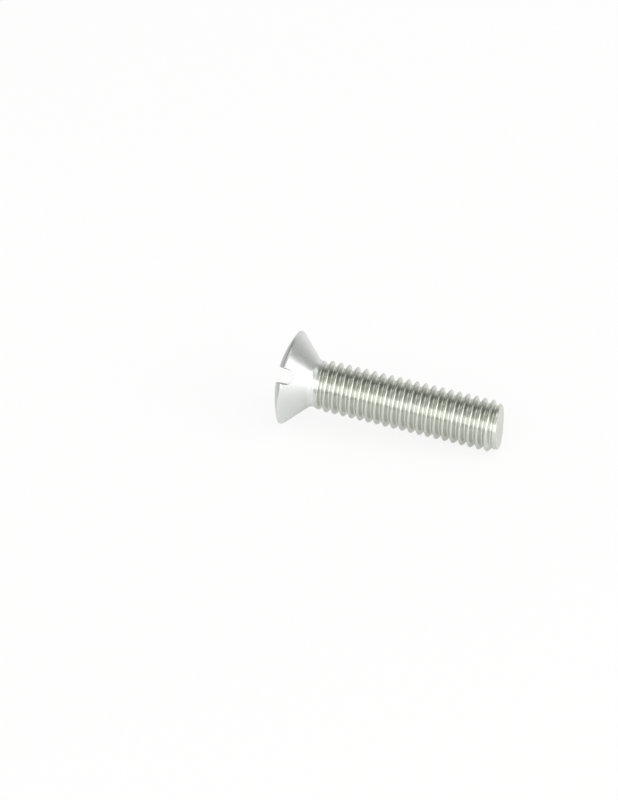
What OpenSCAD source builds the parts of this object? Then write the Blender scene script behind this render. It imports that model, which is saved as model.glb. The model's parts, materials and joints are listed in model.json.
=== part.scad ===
// Slotted raised countersunk machine screw, metric thread, threaded close up to the head.
// It lies on a surface as it comes to rest: on the rim of its head and on the end of its thread.

/* [Thread] */
// Nominal diameter of the thread
thread_d = 6; // [5.5:0.25:6.5]
// Distance from one crest to the next
pitch = 1; // [0.8:0.05:1.2]
// Angle between the two flanks of a groove
flank_angle = 60; // [50:1:65]
// How far the rolled crests stay below the nominal diameter, across the screw
crest_loss = 0.1; // [0.02:0.01:0.2]
// Turn of the thread about the axis, where its groove starts
thread_turn = 27; // [-180:1:180]

/* [Shank] */
// Length from the rim of the head to the farthest point of the end
length = 25; // [14:0.5:36]
// Diameter of the plain neck under the head
neck_d = 5.3; // [5.15:0.05:5.4]
// Length of the plain neck below the cone's fillet
neck_len = 0.2; // [0.1:0.05:1]
// Length over which the first turns rise from the neck to full height
rise_len = 0.9; // [0.5:0.1:2]
// Length of the point, from the last full crest to the end
point_len = 1.05; // [0.8:0.05:1.4]
// Length of the chamfer that the point starts with
chamfer_len = 0.3; // [0.2:0.05:0.5]
// Diameter of the point at the foot of that chamfer
point_d = 5.2; // [5.1:0.05:5.5]
// Diameter of the point at its far end
end_d = 4.95; // [4.6:0.05:5.05]
// Slant of the sheared end face
end_slant = 8; // [0.5:0.5:9]
// Turn about the axis of the side that the slant cuts short
slant_turn = 33; // [-180:1:180]

/* [Head] */
// Diameter of the head
head_d = 10.8; // [10:0.1:12]
// Full angle of the countersunk cone
cone_angle = 90; // [84:1:96]
// Height of the domed crown above the rim
crown_h = 1.4; // [1:0.05:1.8]
// Radius that rounds the two edges of the rim
rim_r = 0.12; // [0.06:0.01:0.2]
// Height of the straight land between those two edges
rim_land = 0.12; // [0.05:0.01:0.3]
// Fillet between the cone and the neck
neck_fillet = 0.5; // [0.3:0.05:0.9]

/* [Slot] */
// Width of the driver slot
slot_w = 1.7; // [1.5:0.05:2.1]
// Depth of the slot, from the top of the crown
slot_depth = 2.45; // [2.2:0.05:3]
// Radius in the two bottom corners of the slot
slot_corner = 0.7; // [0.1:0.05:0.7]
// Turn of the slot about the axis, from the level line across the screw
slot_turn = 32; // [-60:1:60]

/* [Hidden] */
$fn = 72;

// Radii
head_r = head_d / 2;
neck_r = neck_d / 2;
crest_r = (thread_d - crest_loss) / 2;
point_r = point_d / 2;
end_r = end_d / 2;

// Thread section: a groove with a narrow flat root and straight flanks. Its depth is a share of the
// height of the sharp V, and its ridge at the nominal diameter is a share of the pitch.
depth_share = 17 / 24;
ridge_share = 1 / 8;
slope = tan(flank_angle / 2);
root_r = thread_d / 2 - depth_share * pitch / 2 / slope;
root_w = pitch * (1 - ridge_share - depth_share);

// The cutter of the groove: its steps in each turn, and how far it reaches past the crests
steps_per_turn = 30;
overshoot = 0.05;

// Rim: its two rounded edges are centred on this circle
rim_ring = head_r - rim_r;

// Crown: a sphere through the top of the dome, tangent to the rim's upper edge
crown_r = (rim_ring ^ 2 + crown_h ^ 2 - rim_r ^ 2) / (2 * (crown_h - rim_r));
crown_tilt = atan2(rim_ring, crown_r - crown_h);

// Cone: tangent to the rim's lower edge, then a fillet into the neck
half_cone = cone_angle / 2;
cone_top = [rim_ring + rim_r * cos(half_cone), -rim_land - rim_r * sin(half_cone)];
fillet_run = (cone_top.x - neck_r - neck_fillet * (1 - cos(half_cone))) / sin(half_cone);
fillet_at = [neck_r + neck_fillet, cone_top.y - neck_fillet * sin(half_cone) - fillet_run * cos(half_cone)];
neck_end = fillet_at.y - neck_len;
full_thread = neck_end - rise_len;

// The groove starts half a pitch above the end of the neck and runs out past the end of the screw
groove_from = -neck_end - pitch / 2;
groove_turns = (length - groove_from) / pitch + 1;
groove_steps = ceil(groove_turns * steps_per_turn);

// The thread on the side that lies down, as distances from the rim: the far edge of its last
// full crest, and the highest point of the ridge after it, which the point's chamfer cuts
crest_w = pitch - root_w - 2 * (crest_r - root_r) * slope;
point_from = length - point_len;
crest_under = groove_from + pitch * (thread_turn - 180) / 360 + (pitch + crest_w) / 2;
last_crest = point_from - (point_from - crest_under) % pitch;
next_crest = last_crest + pitch - crest_w;
point_fall = (crest_r - point_r) / chamfer_len;
fall_ratio = slope * point_fall;
cut_ridge = max(point_from, (next_crest + fall_ratio * point_from) / (1 + fall_ratio));

// Rest: the screw tips until the first of those two points meets the surface
function tilt_on(along, radius) =
    let (run = [along - rim_land, rim_ring - radius])
    atan2(run.y, run.x) + asin(rim_r / norm(run));
rest_tilt = min(
    tilt_on(last_crest, crest_r),
    tilt_on(cut_ridge, crest_r - (cut_ridge - point_from) * point_fall)
);
axis_height = rim_ring * cos(rest_tilt) + rim_land * sin(rest_tilt) + rim_r;

// How far the lying screw reaches from the middle of its rim: to the right its slanted end face
slant_rise = end_r * tan(end_slant) * cos(rest_tilt);
face_swing = [end_r * sin(rest_tilt) - slant_rise * cos(slant_turn), slant_rise * sin(slant_turn)];
reach_right = length * cos(rest_tilt) - slant_rise + norm(face_swing);
reach_left = crown_r - (crown_r - crown_h) * cos(rest_tilt);

// The blank is turned longer than the screw, and the shear takes the rest off
spare_len = 0.4;
spare_r = end_r - spare_len * (point_r - end_r) / (point_len - chamfer_len);

// Points of an arc about a centre, from one angle to another, both included
function arc(centre, r, from, to, steps) =
    [for (i = [0 : steps]) let (a = from + (to - from) * i / steps) centre + r * [cos(a), sin(a)]];

// Half of the screw's turned outline, from the top of the crown down and round to the axis
function turned_outline() = concat(
    arc([0, crown_h - crown_r], crown_r, 90, 90 - crown_tilt, 24),
    arc([rim_ring, 0], rim_r, 90 - crown_tilt, 0, 4),
    arc([rim_ring, -rim_land], rim_r, 0, -half_cone, 4),
    arc(fillet_at, neck_fillet, 180 - half_cone, 180, 6),
    [
        [neck_r, neck_end],
        [crest_r, full_thread],
        [crest_r, -point_from],
        [point_r, -point_from - chamfer_len],
        [spare_r, -length - spare_len],
        [0, -length - spare_len]
    ]
);

// The blank, as headed and before its thread, its slot and its end
module blank() {
    rotate_extrude()
        polygon(turned_outline());
}

// Radius of the groove's root at a step: it comes down from above the crests over the first turn
function root_at(i) =
    let (sunk = min(1, i / steps_per_turn))
    root_r + (crest_r + overshoot / 2 - root_r) * (1 - sunk);

// The four corners of the groove's section at a step of the helix
function groove_ring(i) =
    let (
        turn = 360 * i / steps_per_turn,
        z = -groove_from - pitch * i / steps_per_turn,
        root = root_at(i),
        top = crest_r + overshoot,
        top_w = root_w + 2 * (top - root) * slope,
        section = [[root, root_w / 2], [top, top_w / 2], [top, -top_w / 2], [root, -root_w / 2]]
    )
    [for (p = section) [p[0] * cos(turn), -p[0] * sin(turn), z + p[1]]];

// The two triangles of one side of the groove, between a step and the next
function groove_side(i, k) =
    let (b = 4 * i, next = (k + 1) % 4)
    [[b + k, b + next, b + 4 + next], [b + k, b + 4 + next, b + 4 + k]];

// Everything that the right-handed thread takes out of the blank
module thread_groove() {
    last = 4 * groove_steps;
    rotate([0, 0, thread_turn])
        polyhedron(
            points = [for (i = [0 : groove_steps]) each groove_ring(i)],
            faces = concat(
                [[3, 2, 1, 0], [last, last + 1, last + 2, last + 3]],
                [for (i = [0 : groove_steps - 1], k = [0 : 3]) each groove_side(i, k)]
            ),
            convexity = 10
        );
}

// Section of the driver slot, with its rounded floor at y = 0
function slot_outline() =
    let (corner_x = slot_w / 2 - slot_corner, top = slot_depth + 1)
    concat(
        [[slot_w / 2, top], [-slot_w / 2, top]],
        arc([-corner_x, slot_corner], slot_corner, 180, 270, 8),
        arc([corner_x, slot_corner], slot_corner, 270, 360, 8)
    );

// The driver slot runs right across the head and is open at both of its ends
module driver_slot() {
    rotate([0, 0, slot_turn])
        translate([0, head_d, crown_h - slot_depth])
            rotate([90, 0, 0])
                linear_extrude(height = 2 * head_d)
                    polygon(slot_outline());
}

// What the shear takes off the end: all that lies below a slanted plane
module sheared_off() {
    slab = 2 * thread_d;
    rotate([0, 0, slant_turn])
        translate([-end_r, 0, -length])
            rotate([0, -end_slant, 0])
                translate([-slab / 2, -slab / 2, -slab])
                    cube([2 * slab, slab, slab]);
}

// The whole screw, headed, threaded, slotted and sheared, in one piece of stainless steel
module screw() {
    color([0.72, 0.72, 0.68])
        translate([(reach_left - reach_right) / 2, 0, axis_height])
            rotate([0, rest_tilt - 90, 0])
                difference() {
                    blank();
                    thread_groove();
                    driver_slot();
                    sheared_off();
                }
}

screw();
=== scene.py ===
"""Looks of a slotted raised countersunk machine screw that lies on a pale floor.

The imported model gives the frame: the screw's place, axis and lean come from the thread mount. The
screw itself is one fine mesh that stands for the solid node: its turned outline is swept round, the
rolled thread is pressed in by Geometry Nodes, and the driver slot is cut through the head. Sizes on
the screw are in millimetres, and the scene is in metres.
"""

import json
import logging
import math
from dataclasses import dataclass, field
from enum import Enum

import bmesh
import bpy
from mathutils import Matrix, Vector

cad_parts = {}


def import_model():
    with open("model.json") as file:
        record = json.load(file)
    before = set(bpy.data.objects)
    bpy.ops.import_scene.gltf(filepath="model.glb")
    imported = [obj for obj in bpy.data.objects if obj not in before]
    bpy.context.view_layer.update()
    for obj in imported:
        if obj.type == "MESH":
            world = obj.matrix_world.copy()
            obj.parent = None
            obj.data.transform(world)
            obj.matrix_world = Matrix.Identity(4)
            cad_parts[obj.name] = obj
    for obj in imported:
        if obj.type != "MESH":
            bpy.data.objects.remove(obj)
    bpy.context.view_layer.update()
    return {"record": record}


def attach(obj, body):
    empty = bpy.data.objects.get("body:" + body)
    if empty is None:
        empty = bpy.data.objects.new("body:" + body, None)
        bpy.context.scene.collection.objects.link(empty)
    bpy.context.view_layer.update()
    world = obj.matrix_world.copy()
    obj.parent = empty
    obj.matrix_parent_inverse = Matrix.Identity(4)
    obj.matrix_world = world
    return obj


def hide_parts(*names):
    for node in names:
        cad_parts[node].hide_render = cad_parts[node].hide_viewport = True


LOG = logging.getLogger("screw_scene")
MM = 0.001
# Radius in millimetres at which grain that follows the axis has its real size
GRAIN_RADIUS = 3.0
# Largest bend between two faces, in degrees, that is shaded smooth
SMOOTH_UP_TO = 38.0
# Distance in millimetres at which points of the swept mesh become one
MERGE_WITHIN = 0.0005
# Depth in millimetres under the head's surface from which a face counts as sawn
SAWN_BELOW = 0.012
# How straight down the axis a face has to look to count as sheared, where 1 is exactly
SHEARED_FACING = 0.85
Colour = tuple[float, float, float, float]
Outline = list[tuple[float, float]]
Stops = tuple[tuple[float, str], ...]

# What the metal mirrors of the room: angles from the front wall's foot, up over the ceiling and
# down to the back wall's foot, as shares of the half circle, with the colour there
ROOM: Stops = (
    (0.0, "#FCFCFA"),
    (0.3, "#FAFBF6"),
    (0.36, "#F6F7F2"),
    (0.42, "#ECEEE8"),
    (0.49, "#D2D4CE"),
    (0.55, "#A6A8A2"),
    (0.62, "#8C8E89"),
    (0.7, "#9EA09C"),
    (0.76, "#C6C8C4"),
    (0.81, "#E6E8E4"),
    (0.87, "#FFFFFD"),
    (1.0, "#FAFAF8"),
)
# How much of that is left from the far left of the room to its far right
ACROSS: Stops = (
    (0.0, "#A8A8A8"),
    (0.4, "#F0F0F0"),
    (0.55, "#FFFFFF"),
    (0.65, "#F8F8F8"),
    (0.85, "#C4C4C4"),
    (1.0, "#C0C0C0"),
)


def linear(hex_colour: str) -> Colour:
    """Turns an sRGB hex colour into the linear values that Blender's sockets take.

    Args:
        hex_colour: Six hex digits, with or without a leading hash sign.

    Returns:
        Red, green and blue in linear light, and an alpha of one.
    """
    digits = hex_colour.lstrip("#")
    channels = [int(digits[i : i + 2], 16) / 255 for i in (0, 2, 4)]
    low_end = 0.04045
    light = [c / 12.92 if c <= low_end else ((c + 0.055) / 1.055) ** 2.4 for c in channels]
    return (light[0], light[1], light[2], 1.0)


def add_node(
    tree: bpy.types.NodeTree,
    kind: str,
    settings: dict[str, object] | None = None,
    links: dict[int | str, object] | None = None,
) -> bpy.types.Node:
    """Adds one node to a tree, sets its options and fills or links its inputs.

    Args:
        tree: The node tree that gets the node.
        kind: Blender's type name of the node.
        settings: The node's own options by name.
        links: Inputs by index or name; a socket is linked, and anything else is set as its value.

    Returns:
        The new node.
    """
    node = tree.nodes.new(kind)
    for name, value in (settings or {}).items():
        setattr(node, name, value)
    for key, value in (links or {}).items():
        if isinstance(value, bpy.types.NodeSocket):
            tree.links.new(value, node.inputs[key])
        else:
            node.inputs[key].default_value = value
    return node


class Finish(Enum):
    """The surfaces that making the screw left on it, in the order of its material slots."""

    HEADED = 0
    ROLLED = 1
    SAWN = 2
    SHEARED = 3


@dataclass(frozen=True)
class SteelFinish:
    """A2 stainless steel as one making step left it.

    The grain is a fine noise with its own size along x, y and z of the screw, or, where the finish is
    turned, round its axis. The pits are a coarser noise, which also varies the roughness.
    """

    name: str
    colour: str
    roughness: float
    mottle: float
    grain_mm: tuple[float, float, float]
    grain_depth_mm: float
    pit_mm: float
    pit_depth_mm: float
    turned: bool = False

    def build(self, axis_frame: Matrix) -> bpy.types.Material:
        """Builds the finish as a node material.

        Args:
            axis_frame: Takes a point of the screw's own frame to the scene.

        Returns:
            The material, on Object coordinates turned into the screw's own frame.
        """
        material = bpy.data.materials.new(self.name)
        material.use_nodes = True
        tree = material.node_tree
        shader = tree.nodes["Principled BSDF"]
        shader.inputs["Base Color"].default_value = linear(self.colour)
        shader.inputs["Metallic"].default_value = 1.0
        own = self._own_coordinates(tree, axis_frame)
        grain = add_node(
            tree,
            "ShaderNodeMapping",
            {"vector_type": "POINT"},
            {
                "Vector": self._round_axis(tree, own) if self.turned else own,
                "Scale": tuple(1.0 / (size * MM) for size in self.grain_mm),
            },
        )
        streaks = add_node(
            tree, "ShaderNodeTexNoise", links={"Vector": grain.outputs[0], "Scale": 1.0, "Detail": 3.0}
        )
        pits = add_node(
            tree,
            "ShaderNodeTexNoise",
            links={"Vector": own, "Scale": 1.0 / (self.pit_mm * MM), "Detail": 4.0, "Roughness": 0.6},
        )
        rough = add_node(
            tree,
            "ShaderNodeMapRange",
            links={
                "Value": pits.outputs[0],
                "From Min": 0.3,
                "From Max": 0.7,
                "To Min": self.roughness * (1 - self.mottle),
                "To Max": self.roughness * (1 + self.mottle),
            },
        )
        tree.links.new(rough.outputs[0], shader.inputs["Roughness"])
        low = add_node(
            tree,
            "ShaderNodeBump",
            links={"Height": streaks.outputs[0], "Strength": 1.0, "Distance": self.grain_depth_mm * MM},
        )
        high = add_node(
            tree,
            "ShaderNodeBump",
            links={
                "Height": pits.outputs[0],
                "Strength": 1.0,
                "Distance": self.pit_depth_mm * MM,
                "Normal": low.outputs[0],
            },
        )
        tree.links.new(high.outputs[0], shader.inputs["Normal"])
        return material

    def _own_coordinates(self, tree: bpy.types.NodeTree, axis_frame: Matrix) -> bpy.types.NodeSocket:
        """Gives Object coordinates turned so that z runs along the screw's axis, from the rim.

        Args:
            tree: The material's tree.
            axis_frame: Takes a point of the screw's own frame to the scene.

        Returns:
            The turned coordinates.
        """
        place, turn, _ = axis_frame.decompose()
        coordinates = add_node(tree, "ShaderNodeTexCoord")
        mapping = add_node(
            tree,
            "ShaderNodeMapping",
            {"vector_type": "TEXTURE"},
            {
                "Vector": coordinates.outputs["Object"],
                "Location": tuple(place),
                "Rotation": tuple(turn.to_euler()),
            },
        )
        return mapping.outputs[0]

    def _round_axis(self, tree: bpy.types.NodeTree, own: bpy.types.NodeSocket) -> bpy.types.NodeSocket:
        """Moves a point straight in or out to the thread's crests, so that grain follows the axis.

        Args:
            tree: The material's tree.
            own: Coordinates in the screw's own frame.

        Returns:
            The moved coordinates.
        """
        split = add_node(tree, "ShaderNodeSeparateXYZ", links={0: own})
        across = add_node(tree, "ShaderNodeCombineXYZ", links={0: split.outputs[0], 1: split.outputs[1]})
        radial = add_node(
            tree, "ShaderNodeVectorMath", {"operation": "NORMALIZE"}, {0: across.outputs[0]}
        )
        along = add_node(tree, "ShaderNodeCombineXYZ", links={2: split.outputs[2]})
        moved = add_node(
            tree,
            "ShaderNodeVectorMath",
            {"operation": "MULTIPLY_ADD"},
            {0: radial.outputs[0], 1: (GRAIN_RADIUS * MM, GRAIN_RADIUS * MM, 0.0), 2: along.outputs[0]},
        )
        return moved.outputs[0]


FINISHES = {
    # Cold-headed: satin from the die, with fine lines where the metal flowed along the cone
    Finish.HEADED: SteelFinish(
        "stainless_steel_cold_headed", "#E0E3E1", 0.3, 0.1, (0.12, 0.12, 5.0), 0.0016, 0.5, 0.0001, True
    ),
    # Thread-rolled: burnished flanks, warmer than the head, with slight drag lines round the axis
    Finish.ROLLED: SteelFinish(
        "stainless_steel_thread_rolled", "#D3D5CE", 0.21, 0.35, (1.2, 1.2, 0.05), 0.0008, 0.45, 0.009, True
    ),
    # Sawn slot: lines of the slotting saw along the walls, and duller
    Finish.SAWN: SteelFinish(
        "stainless_steel_sawn", "#CBCBC2", 0.3, 0.3, (0.9, 0.9, 0.03), 0.002, 0.2, 0.001
    ),
    # Sheared end: matt and uneven, as the blank was cropped
    Finish.SHEARED: SteelFinish(
        "stainless_steel_sheared", "#D9DBD5", 0.32, 0.3, (0.4, 0.08, 0.4), 0.003, 0.25, 0.002
    ),
}


def arc(
    centre: tuple[float, float], radius: float, start: float, end: float, steps: int
) -> Outline:
    """Points of an arc, with both its ends.

    Args:
        centre: Its centre.
        radius: Its radius.
        start: First angle in degrees.
        end: Last angle in degrees.
        steps: How many equal steps it has.

    Returns:
        steps + 1 points.
    """
    angles = [math.radians(start + (end - start) * i / steps) for i in range(steps + 1)]
    return [(centre[0] + radius * math.cos(a), centre[1] + radius * math.sin(a)) for a in angles]


def straight(start: tuple[float, float], end: tuple[float, float], steps: int) -> Outline:
    """Points of a straight line, without its last one.

    Args:
        start: First point.
        end: Last point.
        steps: How many equal steps it has.

    Returns:
        steps points.
    """
    return [
        (start[0] + (end[0] - start[0]) * i / steps, start[1] + (end[1] - start[1]) * i / steps)
        for i in range(steps)
    ]


@dataclass(frozen=True)
class Head:
    """Raised countersunk head: a domed crown, a narrow rounded rim and a cone down to the neck."""

    # A hair under the solid's 10.8, so that the finer circle stays inside its box
    diameter: float = 10.795
    crown_height: float = 1.4
    rim_radius: float = 0.12
    rim_land: float = 0.12
    cone_angle: float = 90.0
    # Softer than the solid's fillet, while the neck ends at the same height
    neck_fillet: float = 0.95
    neck_diameter: float = 5.3

    @property
    def rim_ring(self) -> float:
        """Radius of the circle on which the rim's rounded edges are centred."""
        return self.diameter / 2 - self.rim_radius

    @property
    def crown_radius(self) -> float:
        """Radius of the dome, tangent to the rim's upper edge."""
        rise = self.crown_height - self.rim_radius
        return (self.rim_ring**2 + self.crown_height**2 - self.rim_radius**2) / (2 * rise)

    @property
    def crown_tilt(self) -> float:
        """Slope of the dome where it meets the rim, in degrees."""
        return math.degrees(math.atan2(self.rim_ring, self.crown_radius - self.crown_height))

    @property
    def fillet_centre(self) -> tuple[float, float]:
        """Centre of the fillet between the cone and the neck.

        Returns:
            Its radius and height.
        """
        half = math.radians(self.cone_angle / 2)
        top_x = self.rim_ring + self.rim_radius * math.cos(half)
        top_y = -self.rim_land - self.rim_radius * math.sin(half)
        neck = self.neck_diameter / 2
        run = (top_x - neck - self.neck_fillet * (1 - math.cos(half))) / math.sin(half)
        return (neck + self.neck_fillet, top_y - self.neck_fillet * math.sin(half) - run * math.cos(half))

    def outside(self, radius: float, height: float) -> float:
        """Tells how far a point lies outside the head's surface.

        Args:
            radius: Its distance from the axis.
            height: Its height above the rim.

        Returns:
            The distance, negative inside the head.
        """
        dome = math.hypot(radius, height - self.crown_height + self.crown_radius) - self.crown_radius
        rim = radius - self.diameter / 2
        half = math.radians(self.cone_angle / 2)
        foot = self.rim_ring + self.rim_radius * math.cos(half)
        drop = -self.rim_land - self.rim_radius * math.sin(half) - height
        cone = (radius - foot) * math.cos(half) + drop * math.sin(half)
        return max(dome, rim, cone)

    def outline(self) -> Outline:
        """Gives the head's half outline.

        Returns:
            Points from the top of the crown to the neck.
        """
        half = self.cone_angle / 2
        dome = (0, self.crown_height - self.crown_radius)
        crown = arc(dome, self.crown_radius, 90, 90 - self.crown_tilt, 44)
        upper = arc((self.rim_ring, 0), self.rim_radius, 90 - self.crown_tilt, 0, 5)
        lower = arc((self.rim_ring, -self.rim_land), self.rim_radius, 0, -half, 5)
        fillet = arc(self.fillet_centre, self.neck_fillet, 180 - half, 180, 8)
        cone = straight(lower[-1], fillet[0], 20)[1:]
        return crown + upper[1:] + lower + cone + fillet


@dataclass(frozen=True)
class Thread:
    """Rolled metric thread, right-handed, with rounded roots and softened crests."""

    nominal_diameter: float = 6.0
    pitch: float = 1.0
    flank_angle: float = 60.0
    crest_loss: float = 0.1
    turn: float = 27.0
    rise_length: float = 0.9
    root_round: float = 0.13
    crest_round: float = 0.28

    @property
    def slope(self) -> float:
        """How much wider a groove gets on each side for each millimetre outwards."""
        return math.tan(math.radians(self.flank_angle / 2))

    @property
    def crest_radius(self) -> float:
        """Radius of the crests."""
        return (self.nominal_diameter - self.crest_loss) / 2

    @property
    def root_radius(self) -> float:
        """Radius of the roots: 17/24 of the sharp V's height below the nominal diameter."""
        return self.nominal_diameter / 2 - 17 / 24 * self.pitch / 2 / self.slope

    @property
    def root_width(self) -> float:
        """Width of a groove's floor."""
        return self.pitch * (1 - 1 / 8 - 17 / 24)


@dataclass(frozen=True)
class Shank:
    """Plain neck, threaded length and short point of the screw, with its slanted end."""

    length: float = 25.0
    # What the wide fillet leaves of the plain neck
    neck_length: float = 0.0136
    # How far past the neck's end the surface stays as headed, where the rolling dies come in
    unrolled_length: float = 0.3
    point_length: float = 1.05
    chamfer_length: float = 0.3
    point_diameter: float = 5.2
    end_diameter: float = 4.95
    end_edge: float = 0.07
    end_dish: float = 0.1
    end_slant: float = 8.0
    slant_turn: float = 33.0
    slant_from: float = 24.2

    @property
    def point_fall(self) -> float:
        """How much thinner the point gets for each millimetre, after its chamfer."""
        return (self.point_diameter - self.end_diameter) / 2 / (self.point_length - self.chamfer_length)

    def outline(self, neck: tuple[float, float], thread: Thread, row_step: float) -> Outline:
        """Gives the shank's half outline, before the thread is pressed in.

        Args:
            neck: Where the neck's cylinder begins, as radius and height.
            thread: The thread that it carries.
            row_step: Distance between two rows of points along the thread.

        Returns:
            Points from the neck to the middle of the end face.
        """
        crest = thread.crest_radius
        end = self.end_diameter / 2
        neck_end = neck[1] - self.neck_length
        full = neck_end - thread.rise_length
        point = -self.length + self.point_length
        edge = (end, -self.length + self.end_edge)
        foot = (self.point_diameter / 2, point - self.chamfer_length)
        stops = [neck, (neck[0], neck_end), (crest, full), (crest, point), foot, edge]
        rows: Outline = []
        for a, b in zip(stops, stops[1:]):
            rows += straight(a, b, max(1, round((a[1] - b[1]) / row_step)))
        rows += [edge]
        rows += arc((end - self.end_edge, edge[1]), self.end_edge, 0, -90, 4)[1:]
        face = end - self.end_edge
        steps = 12
        for i in range(1, steps + 1):
            share = i / steps
            dish = self.end_dish * (0.5 - 0.5 * math.cos(math.pi * min(1.0, 1.6 * share)))
            rows.append((face * (1 - share), -self.length + dish))
        return rows


@dataclass(frozen=True)
class Slot:
    """Straight driver slot, sawn right across the head."""

    width: float = 1.7
    depth: float = 2.45
    corner: float = 0.7
    turn: float = 32.0
    edge: float = 0.2
    grid: float = 0.07

    def cutter(self, head: Head) -> bpy.types.Mesh:
        """Builds the solid that the slot takes out, flared where it breaks through the head.

        Args:
            head: The head that is cut, along whose surface the slot's edges are broken.

        Returns:
            A closed mesh in the screw's own frame.
        """
        section = self._section(head)
        # A little past the rim on both sides
        reach = head.diameter * 0.56
        stations = round(2 * reach / self.grid)
        work = bmesh.new()
        rings = []
        for i in range(stations + 1):
            y = -reach + 2 * reach * i / stations
            ring = []
            for x, z, out_x, out_z in section:
                flare = self._flare(head.outside(math.hypot(x, y), z))
                ring.append(work.verts.new((x + out_x * flare, y, z + out_z * flare)))
            rings.append(ring)
        for a, b in zip(rings, rings[1:]):
            for k in range(len(a)):
                n = (k + 1) % len(a)
                work.faces.new((a[k], a[n], b[n], b[k]))
        work.faces.new(rings[0][::-1])
        work.faces.new(rings[-1])
        bmesh.ops.recalc_face_normals(work, faces=work.faces)
        work.transform(Matrix.Rotation(math.radians(self.turn), 4, "Z"))
        mesh = bpy.data.meshes.new("slot_cutter")
        work.to_mesh(mesh)
        work.free()
        return mesh

    def _flare(self, outside: float) -> float:
        """Widens the cutter near the head's surface, so that it rounds the slot's edges.

        Args:
            outside: Distance outside the head's surface, negative inside it.

        Returns:
            How far the cutter's wall moves outwards.
        """
        near = max(0.0, min(outside + self.edge, 2 * self.edge))
        return near**2 / (2 * self.edge)

    def _section(self, head: Head) -> list[tuple[float, float, float, float]]:
        """Gives the cutter's section, from the top of one wall to the top of the other.

        Args:
            head: The head that is cut.

        Returns:
            Each point's x and z, and the direction that points out of the cutter there.
        """
        half = self.width / 2
        inner = half - self.corner
        low = head.crown_height - self.depth + self.corner
        top = head.crown_height + 4 * self.edge
        corner = [math.radians(90 * i / 9) for i in range(10)]
        steps = round((top - low) / self.grid)
        outward = [(math.sin(a), -math.cos(a)) for a in corner]
        right = [(inner + self.corner * x, low + self.corner * z, x, z) for x, z in outward]
        right += [(half, low + (top - low) * i / steps, 1.0, 0.0) for i in range(1, steps + 1)]
        return [(-x, z, -out_x, out_z) for x, z, out_x, out_z in reversed(right)] + right


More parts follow.
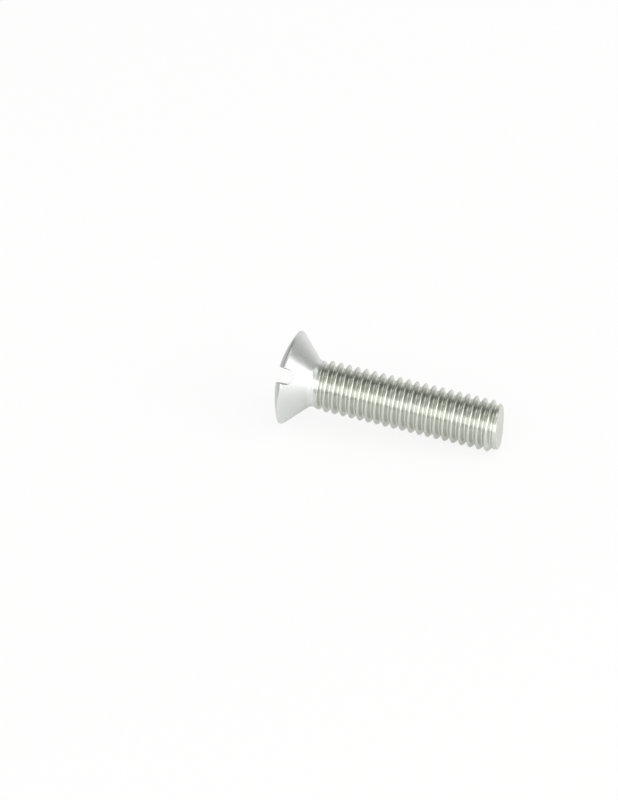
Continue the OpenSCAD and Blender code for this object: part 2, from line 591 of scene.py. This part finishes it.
@dataclass
class Screw:
    """The whole screw: one blank that was headed, thread-rolled and slotted."""

    head: Head = field(default_factory=Head)
    thread: Thread = field(default_factory=Thread)
    shank: Shank = field(default_factory=Shank)
    slot: Slot = field(default_factory=Slot)
    columns: int = 96
    rows_per_pitch: int = 30

    def outline(self) -> Outline:
        """Gives the whole half outline.

        Returns:
            Points from the top of the crown to the middle of the end face.
        """
        head = self.head.outline()
        row_step = self.thread.pitch / self.rows_per_pitch
        return head[:-1] + self.shank.outline(head[-1], self.thread, row_step)

    def build(self, name: str, axis_frame: Matrix, finishes: list[bpy.types.Material]) -> bpy.types.Object:
        """Builds the screw in its place.

        Args:
            name: Name of the piece.
            axis_frame: Takes a point of the screw's own frame, in metres, to the scene.
            finishes: Its materials, in the order of Finish.

        Returns:
            The screw, as one plain mesh at the origin.
        """
        rolled = self._rolled_blank(name, finishes[Finish.ROLLED.value])
        mesh = self._cut_slot(rolled)
        mesh.name = name
        mesh.materials.clear()
        for material in finishes:
            mesh.materials.append(material)
        self._assign_finishes(mesh)
        mesh.transform(axis_frame @ Matrix.Scale(MM, 4))
        mesh.shade_smooth()
        mesh.set_sharp_from_angle(angle=math.radians(SMOOTH_UP_TO))
        mesh.update()
        piece = bpy.data.objects.new(name, mesh)
        bpy.context.scene.collection.objects.link(piece)
        return piece

    def _rolled_blank(self, name: str, material: bpy.types.Material) -> bpy.types.Mesh:
        """Sweeps the outline round and presses the thread in, by Geometry Nodes.

        Args:
            name: Name for the mesh.
            material: Material that the tree sets.

        Returns:
            A closed mesh in the screw's own frame, in millimetres.
        """
        points = self.outline()
        guide = bpy.data.meshes.new("outline_guide")
        edges = [(i, i + 1) for i in range(len(points) - 1)]
        guide.from_pydata([(r, 0.0, z) for r, z in points], edges, [])
        carrier = bpy.data.objects.new("outline_carrier", guide)
        bpy.context.scene.collection.objects.link(carrier)
        tree, sockets = thread_tree(material)
        modifier = carrier.modifiers.new("rolled_thread", "NODES")
        modifier.node_group = tree
        neck_end = self.head.fillet_centre[1] - self.shank.neck_length
        values = {
            "Columns": self.columns,
            "Rows": len(points),
            "Pitch": self.thread.pitch,
            "Slope": self.thread.slope,
            "Crest radius": self.thread.crest_radius,
            "Root radius": self.thread.root_radius,
            "Root width": self.thread.root_width,
            "Groove start": -neck_end - self.thread.pitch / 2,
            "Thread from": -self.head.fillet_centre[1],
            "Start turn": self.thread.turn / 360,
            "Root round": self.thread.root_round,
            "Crest round": self.thread.crest_round,
            "Slant": math.tan(math.radians(self.shank.end_slant)),
            "Slant turn": math.radians(self.shank.slant_turn),
            "Slant from": self.shank.slant_from,
            "Slant full": self.shank.length - self.shank.end_edge,
            "End radius": self.shank.end_diameter / 2,
            "Point fall": self.shank.point_fall / (self.shank.end_diameter / 2),
        }
        for label, value in values.items():
            modifier[sockets[label]] = value
        depsgraph = bpy.context.evaluated_depsgraph_get()
        mesh = bpy.data.meshes.new_from_object(carrier.evaluated_get(depsgraph))
        mesh.name = name
        carrier.modifiers.remove(modifier)
        bpy.data.objects.remove(carrier)
        return mesh

    def _cut_slot(self, blank: bpy.types.Mesh) -> bpy.types.Mesh:
        """Cuts the driver slot out of the blank.

        Args:
            blank: The headed and rolled blank, closed.

        Returns:
            The slotted mesh.
        """
        scene = bpy.context.scene.collection
        body = bpy.data.objects.new("blank", blank)
        tool = bpy.data.objects.new("slotting_saw", self.slot.cutter(self.head))
        scene.objects.link(body)
        scene.objects.link(tool)
        cut = body.modifiers.new("slot", "BOOLEAN")
        cut.operation = "DIFFERENCE"
        cut.solver = "MANIFOLD"
        cut.object = tool
        depsgraph = bpy.context.evaluated_depsgraph_get()
        mesh = bpy.data.meshes.new_from_object(body.evaluated_get(depsgraph))
        body.modifiers.remove(cut)
        bpy.data.objects.remove(body)
        bpy.data.objects.remove(tool)
        return mesh

    def _assign_finishes(self, mesh: bpy.types.Mesh) -> None:
        """Gives each face the finish of the step that made it.

        Args:
            mesh: The slotted mesh, in the screw's own frame and in millimetres.
        """
        turn = math.radians(self.slot.turn)
        across = Vector((math.cos(turn), math.sin(turn), 0.0))
        neck = self.head.fillet_centre[1]
        rolled = neck - self.shank.neck_length - self.shank.unrolled_length
        wall = self.slot.width / 2 + self.slot.edge
        for face in mesh.polygons:
            centre = face.center
            under = self.head.outside(math.hypot(centre.x, centre.y), centre.z) < -SAWN_BELOW
            if under and abs(centre.dot(across)) < wall and centre.z > neck:
                face.material_index = Finish.SAWN.value
            elif centre.z < -self.shank.slant_from and face.normal.z < -SHEARED_FACING:
                face.material_index = Finish.SHEARED.value
            elif centre.z < rolled:
                face.material_index = Finish.ROLLED.value
            else:
                face.material_index = Finish.HEADED.value


def thread_tree(material: bpy.types.Material) -> tuple[bpy.types.NodeTree, dict[str, str]]:
    """Builds the Geometry Nodes tree that sweeps an outline round and rolls a thread into it.

    Args:
        material: Material that the result gets.

    Returns:
        The tree, and the identifier of each named input.
    """
    tree = bpy.data.node_groups.new("rolled_thread", "GeometryNodeTree")
    face = tree.interface
    face.new_socket(name="Outline", in_out="INPUT", socket_type="NodeSocketGeometry")
    whole = ("Columns", "Rows")
    sizes = ("Pitch", "Slope", "Crest radius", "Root radius", "Root width", "Groove start")
    sizes += ("Thread from", "Start turn", "Root round", "Crest round")
    sizes += ("Slant", "Slant turn", "Slant from", "Slant full", "End radius", "Point fall")
    for label in whole:
        face.new_socket(name=label, in_out="INPUT", socket_type="NodeSocketInt")
    for label in sizes:
        face.new_socket(name=label, in_out="INPUT", socket_type="NodeSocketFloat")
    face.new_socket(name="Screw", in_out="OUTPUT", socket_type="NodeSocketGeometry")
    given = add_node(tree, "NodeGroupInput").outputs
    value = {label: given[label] for label in whole + sizes}

    value["index"] = add_node(tree, "GeometryNodeInputIndex").outputs[0]
    value["tau"] = math.tau
    early = [
        ("side columns", "ADD", "Columns", 1.0),
        ("column", "DIVIDE", "index", "Rows"),
        ("column", "FLOOR", "column"),
        ("row", "MODULO", "index", "Rows"),
    ]
    run_steps(tree, value, early)
    grid = add_node(
        tree,
        "GeometryNodeMeshGrid",
        links={"Vertices X": value["side columns"], "Vertices Y": value["Rows"]},
    )
    place = add_node(tree, "GeometryNodeInputPosition")
    on_outline = add_node(
        tree,
        "GeometryNodeSampleIndex",
        {"data_type": "FLOAT_VECTOR", "domain": "POINT"},
        {"Geometry": given["Outline"], "Value": place.outputs[0], "Index": value["row"]},
    )
    split = add_node(tree, "ShaderNodeSeparateXYZ", links={0: on_outline.outputs[0]})
    value["radius"] = split.outputs["X"]
    value["height"] = split.outputs["Z"]
    late = [
        # How far round, and how far down from the rim
        ("round", "DIVIDE", "column", "Columns"),
        ("angle", "MULTIPLY", "round", "tau"),
        ("along", "MULTIPLY", "height", -1.0),
        # The end is sheared on a slant, which draws the last turns back on one side
        ("off long side", "SUBTRACT", "angle", "Slant turn"),
        ("off long side", "COSINE", "off long side"),
        ("reach", "MINIMUM", "radius", "End radius"),
        ("drawn back", "MULTIPLY_ADD", "off long side", "reach", "End radius"),
        ("drawn back", "MULTIPLY", "drawn back", "Slant"),
        ("end zone", "SUBTRACT", "along", "Slant from"),
        ("zone length", "SUBTRACT", "Slant full", "Slant from"),
        ("share", "DIVIDE", "end zone", "zone length"),
        ("share", "MAXIMUM", "share", 0.0),
        ("share", "MINIMUM", "share", 1.0),
        ("drawn back", "MULTIPLY", "drawn back", "share"),
        ("along", "SUBTRACT", "along", "drawn back"),
        ("height", "MULTIPLY", "along", -1.0),
        ("growth", "MULTIPLY_ADD", "drawn back", "Point fall", 1.0),
        ("radius", "MULTIPLY", "radius", "growth"),
        # Which turn of the groove is nearest, and how far it is from its middle
        ("shift", "SUBTRACT", "Start turn", "round"),
        ("past start", "SUBTRACT", "along", "Groove start"),
        ("turns down", "DIVIDE", "past start", "Pitch"),
        ("turns down", "SUBTRACT", "turns down", "shift"),
        ("nearest", "ROUND", "turns down"),
        ("off middle", "SUBTRACT", "turns down", "nearest"),
        ("off middle", "ABSOLUTE", "off middle"),
        ("off middle", "MULTIPLY", "off middle", "Pitch"),
        # The groove sinks in over its first turn
        ("progress", "ADD", "nearest", "shift"),
        ("to go", "SUBTRACT", 1.0, "progress"),
        ("to go", "MAXIMUM", "to go", 0.0),
        ("full depth", "SUBTRACT", "Crest radius", "Root radius"),
        ("lift", "MULTIPLY", "to go", "full depth"),
        # The groove's section: two flanks that a smooth maximum rounds into the root
        ("root", "ADD", "Root radius", "lift"),
        ("half floor", "MULTIPLY", "Root width", 0.5),
        ("on flank", "SUBTRACT", "off middle", "half floor"),
        ("on flank", "DIVIDE", "on flank", "Slope"),
        ("on flank", "ADD", "on flank", "root"),
        ("groove", "SMOOTH_MAX", "on flank", "root", "Root round"),
        # The crest: a smooth minimum softens its two edges
        ("rolled", "SMOOTH_MIN", "radius", "groove", "Crest round"),
        ("on thread", "GREATER_THAN", "along", "Thread from"),
        ("cut", "SUBTRACT", "rolled", "radius"),
        ("cut", "MULTIPLY", "cut", "on thread"),
        ("radius", "ADD", "radius", "cut"),
        ("radius", "MAXIMUM", "radius", 0.0),
        ("cosine", "COSINE", "angle"),
        ("sine", "SINE", "angle"),
        ("x", "MULTIPLY", "radius", "cosine"),
        ("y", "MULTIPLY", "radius", "sine"),
    ]
    run_steps(tree, value, late)
    target = add_node(
        tree, "ShaderNodeCombineXYZ", links={0: value["x"], 1: value["y"], 2: value["height"]}
    )
    moved = add_node(
        tree,
        "GeometryNodeSetPosition",
        links={"Geometry": grid.outputs[0], "Position": target.outputs[0]},
    )
    closed = add_node(
        tree,
        "GeometryNodeMergeByDistance",
        links={"Geometry": moved.outputs[0], "Distance": MERGE_WITHIN},
    )
    outward = add_node(tree, "GeometryNodeFlipFaces", links={"Mesh": closed.outputs[0]})
    real = add_node(tree, "GeometryNodeRealizeInstances", links={"Geometry": outward.outputs[0]})
    dressed = add_node(
        tree, "GeometryNodeSetMaterial", links={"Geometry": real.outputs[0], "Material": material}
    )
    add_node(tree, "NodeGroupOutput", links={0: dressed.outputs[0]})
    identifiers = {
        item.name: item.identifier
        for item in face.items_tree
        if item.item_type == "SOCKET" and item.in_out == "INPUT"
    }
    return tree, identifiers


def run_steps(tree: bpy.types.NodeTree, value: dict[str, object], steps: list[tuple]) -> None:
    """Adds one maths node for each step of a calculation.

    Args:
        tree: The tree that gets the nodes.
        value: Values by name, which each step reads and adds to.
        steps: For each step the name of its result, its operation and its operands.
    """
    for result, operation, *operands in steps:
        links = {i: value.get(o, o) if isinstance(o, str) else o for i, o in enumerate(operands)}
        value[result] = add_node(tree, "ShaderNodeMath", {"operation": operation}, links).outputs[0]


@dataclass(frozen=True)
class SoftBox:
    """Rectangular soft box that looks at the screw, with its place in metres and power in watts."""

    name: str
    place: tuple[float, float, float]
    size: tuple[float, float]
    power: float

    def build(self) -> None:
        """Places the light and turns it to the screw."""
        data = bpy.data.lights.new(self.name, "AREA")
        data.shape = "RECTANGLE"
        data.size, data.size_y = self.size
        data.energy = self.power
        light = bpy.data.objects.new(self.name, data)
        bpy.context.scene.collection.objects.link(light)
        light.location = self.place
        light.rotation_euler = Vector(self.place).to_track_quat("Z", "Y").to_euler()


SOFT_BOXES = (
    # In front: the bright stripe along the shank
    SoftBox("front_box", (-0.195, -0.6, 0.305), (1.0, 0.48), 1.6),
    # To the right: the bright side of the cone
    SoftBox("right_box", (0.54, -0.23, 0.185), (0.8, 0.42), 2.1),
    # Overhead, to the right: the neck's fillet and the right shoulders of the crests
    SoftBox("top_box", (0.236, 0.078, 0.49), (0.24, 0.52), 0.3),
)


@dataclass(frozen=True)
class Studio:
    """Plain pale floor, white surroundings and soft boxes, seen from the photograph's angle."""

    floor_size: float = 4.0
    # Shares of the paper that camera and metal see as plain white, so that it needs no strong light
    camera_glow: float = 0.85
    mirrored_glow: float = 0.3
    # Painted shade: where the mirrored paper is painted darker towards the left, and how much of its
    # brightness is left there
    painted_shade_start: float = -0.012
    painted_shade_end: float = -0.038
    painted_shade_rest: float = 0.5
    elevation: float = 31.0
    azimuth: float = 16.3
    distance: float = 0.8
    view_width: float = 0.06985
    aim: tuple[float, float, float] = (-0.008692, -0.002811, 0.00448)

    def build_camera(self) -> None:
        """Creates the camera at the photograph's viewing angle and makes it the scene's."""
        data = bpy.data.cameras.new("photo_camera")
        data.sensor_fit = "HORIZONTAL"
        data.sensor_width = 36.0
        data.lens = data.sensor_width * self.distance / self.view_width
        data.clip_start = 0.05
        camera = bpy.data.objects.new("photo_camera", data)
        bpy.context.scene.collection.objects.link(camera)
        up = math.radians(self.elevation)
        side = math.radians(self.azimuth)
        towards = Vector((math.cos(up) * math.sin(side), -math.cos(up) * math.cos(side), math.sin(up)))
        camera.location = Vector(self.aim) + towards * self.distance
        camera.rotation_euler = towards.to_track_quat("Z", "Y").to_euler()
        bpy.context.scene.camera = camera

    def build_floor(self) -> bpy.types.Object:
        """Creates the pale floor, which camera and metal see nearly white, with its shadow kept.

        Returns:
            The floor.
        """
        half = self.floor_size / 2
        mesh = bpy.data.meshes.new("floor")
        corners = [(-half, -half, 0), (half, -half, 0), (half, half, 0), (-half, half, 0)]
        mesh.from_pydata(corners, [], [(0, 1, 2, 3)])
        floor = bpy.data.objects.new("floor", mesh)
        bpy.context.scene.collection.objects.link(floor)
        material = bpy.data.materials.new("white_paper")
        material.use_nodes = True
        tree = material.node_tree
        tree.nodes.clear()
        rays = add_node(tree, "ShaderNodeLightPath")
        mirrored = add_node(
            tree,
            "ShaderNodeMath",
            {"operation": "MAXIMUM"},
            {0: rays.outputs["Is Transmission Ray"], 1: rays.outputs["Is Glossy Ray"]},
        )
        mirrored = add_node(
            tree,
            "ShaderNodeMath",
            {"operation": "MULTIPLY"},
            {0: mirrored.outputs[0], 1: self.mirrored_glow},
        )
        share = add_node(
            tree,
            "ShaderNodeMath",
            {"operation": "MULTIPLY_ADD"},
            {0: rays.outputs["Is Camera Ray"], 1: self.camera_glow, 2: mirrored.outputs[0]},
        )
        matt = add_node(tree, "ShaderNodeBsdfDiffuse", links={"Color": linear("#F4F4F2")})
        coated = add_node(
            tree,
            "ShaderNodeBsdfPrincipled",
            links={"Base Color": linear("#F4F4F2"), "Roughness": 0.3, "IOR": 1.5},
        )
        paper = add_node(
            tree,
            "ShaderNodeMixShader",
            links={0: rays.outputs["Is Glossy Ray"], 1: matt.outputs[0], 2: coated.outputs[0]},
        )
        white = add_node(tree, "ShaderNodeEmission", links={"Color": linear("#FFFFFF"), "Strength": 1.0})
        mixed = add_node(
            tree,
            "ShaderNodeMixShader",
            links={0: share.outputs[0], 1: paper.outputs[0], 2: white.outputs[0]},
        )
        # Painted shade: for glossy rays the paper is mixed towards black on its left side, and other rays
        # see it unchanged
        dark = add_node(tree, "ShaderNodeEmission", links={"Strength": 0.0})
        kept = add_node(
            tree,
            "ShaderNodeMixShader",
            links={0: self._painted_shade_share(tree, rays), 1: dark.outputs[0], 2: mixed.outputs[0]},
        )
        add_node(tree, "ShaderNodeOutputMaterial", links={"Surface": kept.outputs[0]})
        mesh.materials.append(material)
        return floor

    def _painted_shade_share(self, tree: bpy.types.NodeTree, rays: bpy.types.Node) -> bpy.types.NodeSocket:
        """Paints shade on the paper towards the left, which only the metal's reflections show.

        Args:
            tree: The floor's tree.
            rays: Its Light Path node.

        Returns:
            The share of the light that is left.
        """
        place = add_node(tree, "ShaderNodeTexCoord")
        split = add_node(tree, "ShaderNodeSeparateXYZ", links={0: place.outputs["Object"]})
        painted_falloff = add_node(
            tree,
            "ShaderNodeMapRange",
            {"interpolation_type": "SMOOTHSTEP"},
            {
                "Value": split.outputs["X"],
                "From Min": self.painted_shade_end,
                "From Max": self.painted_shade_start,
                "To Min": self.painted_shade_rest,
                "To Max": 1.0,
            },
        )
        other = add_node(
            tree, "ShaderNodeMath", {"operation": "SUBTRACT"}, {0: 1.0, 1: rays.outputs["Is Glossy Ray"]}
        )
        share = add_node(
            tree, "ShaderNodeMath", {"operation": "MAXIMUM"}, {0: painted_falloff.outputs[0], 1: other.outputs[0]}
        )
        return share.outputs[0]

    def build_world(self) -> None:
        """Makes white surroundings for the camera, and a soft studio with a dark ceiling for metal."""
        world = bpy.data.worlds.new("white_studio")
        bpy.context.scene.world = world
        world.use_nodes = True
        tree = world.node_tree
        tree.nodes.clear()
        coordinates = add_node(tree, "ShaderNodeTexCoord")
        split = add_node(tree, "ShaderNodeSeparateXYZ", links={0: coordinates.outputs["Generated"]})
        forward = add_node(
            tree, "ShaderNodeMath", {"operation": "MULTIPLY"}, {0: split.outputs["Y"], 1: -1.0}
        )
        over = add_node(
            tree,
            "ShaderNodeMath",
            {"operation": "ARCTAN2"},
            {0: split.outputs["Z"], 1: forward.outputs[0]},
        )
        share = add_node(
            tree, "ShaderNodeMath", {"operation": "DIVIDE"}, {0: over.outputs[0], 1: math.pi}
        )
        room = self._ramp(tree, share.outputs[0], ROOM)
        width = add_node(
            tree,
            "ShaderNodeMath",
            {"operation": "MULTIPLY_ADD"},
            {0: split.outputs["X"], 1: 0.5, 2: 0.5},
        )
        across = self._ramp(tree, width.outputs[0], ACROSS)
        seen_room = add_node(
            tree,
            "ShaderNodeMix",
            {"data_type": "RGBA", "blend_type": "MULTIPLY"},
            {0: 1.0, 6: room, 7: across},
        )
        rays = add_node(tree, "ShaderNodeLightPath")
        surroundings = add_node(
            tree, "ShaderNodeBackground", links={"Color": seen_room.outputs[2], "Strength": 1.0}
        )
        plain = add_node(
            tree, "ShaderNodeBackground", links={"Color": linear("#E8E8E8"), "Strength": 0.92}
        )
        white = add_node(tree, "ShaderNodeBackground", links={"Color": linear("#FFFFFF"), "Strength": 1.0})
        shiny = add_node(
            tree,
            "ShaderNodeMixShader",
            links={0: rays.outputs["Is Glossy Ray"], 1: plain.outputs[0], 2: surroundings.outputs[0]},
        )
        seen = add_node(
            tree,
            "ShaderNodeMixShader",
            links={0: rays.outputs["Is Camera Ray"], 1: shiny.outputs[0], 2: white.outputs[0]},
        )
        add_node(tree, "ShaderNodeOutputWorld", links={"Surface": seen.outputs[0]})

    def _ramp(
        self, tree: bpy.types.NodeTree, factor: bpy.types.NodeSocket, stops: Stops
    ) -> bpy.types.NodeSocket:
        """Adds a ramp of colours.

        Args:
            tree: The tree that gets it.
            factor: Where on the ramp, from 0 to 1.
            stops: Positions with their colours, from low to high.

        Returns:
            The ramp's colour.
        """
        ramp = add_node(tree, "ShaderNodeValToRGB", links={0: factor})
        while len(ramp.color_ramp.elements) < len(stops):
            ramp.color_ramp.elements.new(0.5)
        for element, (position, colour) in zip(ramp.color_ramp.elements, stops):
            element.position = position
            element.color = linear(colour)
        return ramp.outputs[0]


def screw_frame(frame: dict, sizes: Screw) -> Matrix:
    """Works out where the screw lies, from the thread mount and the screw's sizes.

    Args:
        frame: The loaded frame.
        sizes: The screw's sizes.

    Returns:
        Takes a point of the screw's own frame, with the crown at +z, to the scene.
    """
    mount = next(m for m in frame["record"]["mounts"] if m["name"] == "thread")
    down = Vector(mount["axis"]).normalized()
    up = Vector((-down.z, 0.0, down.x))
    neck_end = sizes.head.fillet_centre[1] - sizes.shank.neck_length
    thread_from = -neck_end + sizes.thread.rise_length
    thread_to = sizes.shank.length - sizes.shank.point_length
    rim = Vector(mount["pos_m"]) - down * (thread_from + thread_to) / 2 * MM
    turn = Matrix((up, Vector((0.0, 1.0, 0.0)), -down)).transposed()
    return Matrix.Translation(rim) @ turn.to_4x4()


def main() -> None:
    """Builds the stage and the screw, in order, and reports each piece."""
    logging.basicConfig(level=logging.INFO, format="%(name)s: %(message)s")
    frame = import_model()

    studio = Studio()
    studio.build_camera()
    studio.build_world()
    for box in SOFT_BOXES:
        box.build()
    studio.build_floor()
    LOG.info("camera, floor and lights are in place")

    bpy.context.scene.view_settings.view_transform = "Standard"

    screw = Screw()
    axis_frame = screw_frame(frame, screw)
    finishes = [FINISHES[kind].build(axis_frame) for kind in Finish]
    piece = screw.build("slotted_screw", axis_frame, finishes)
    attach(piece, "root")
    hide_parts("screw")
    LOG.info("screw: %d faces", len(piece.data.polygons))


if __name__ == "__main__":
    main()
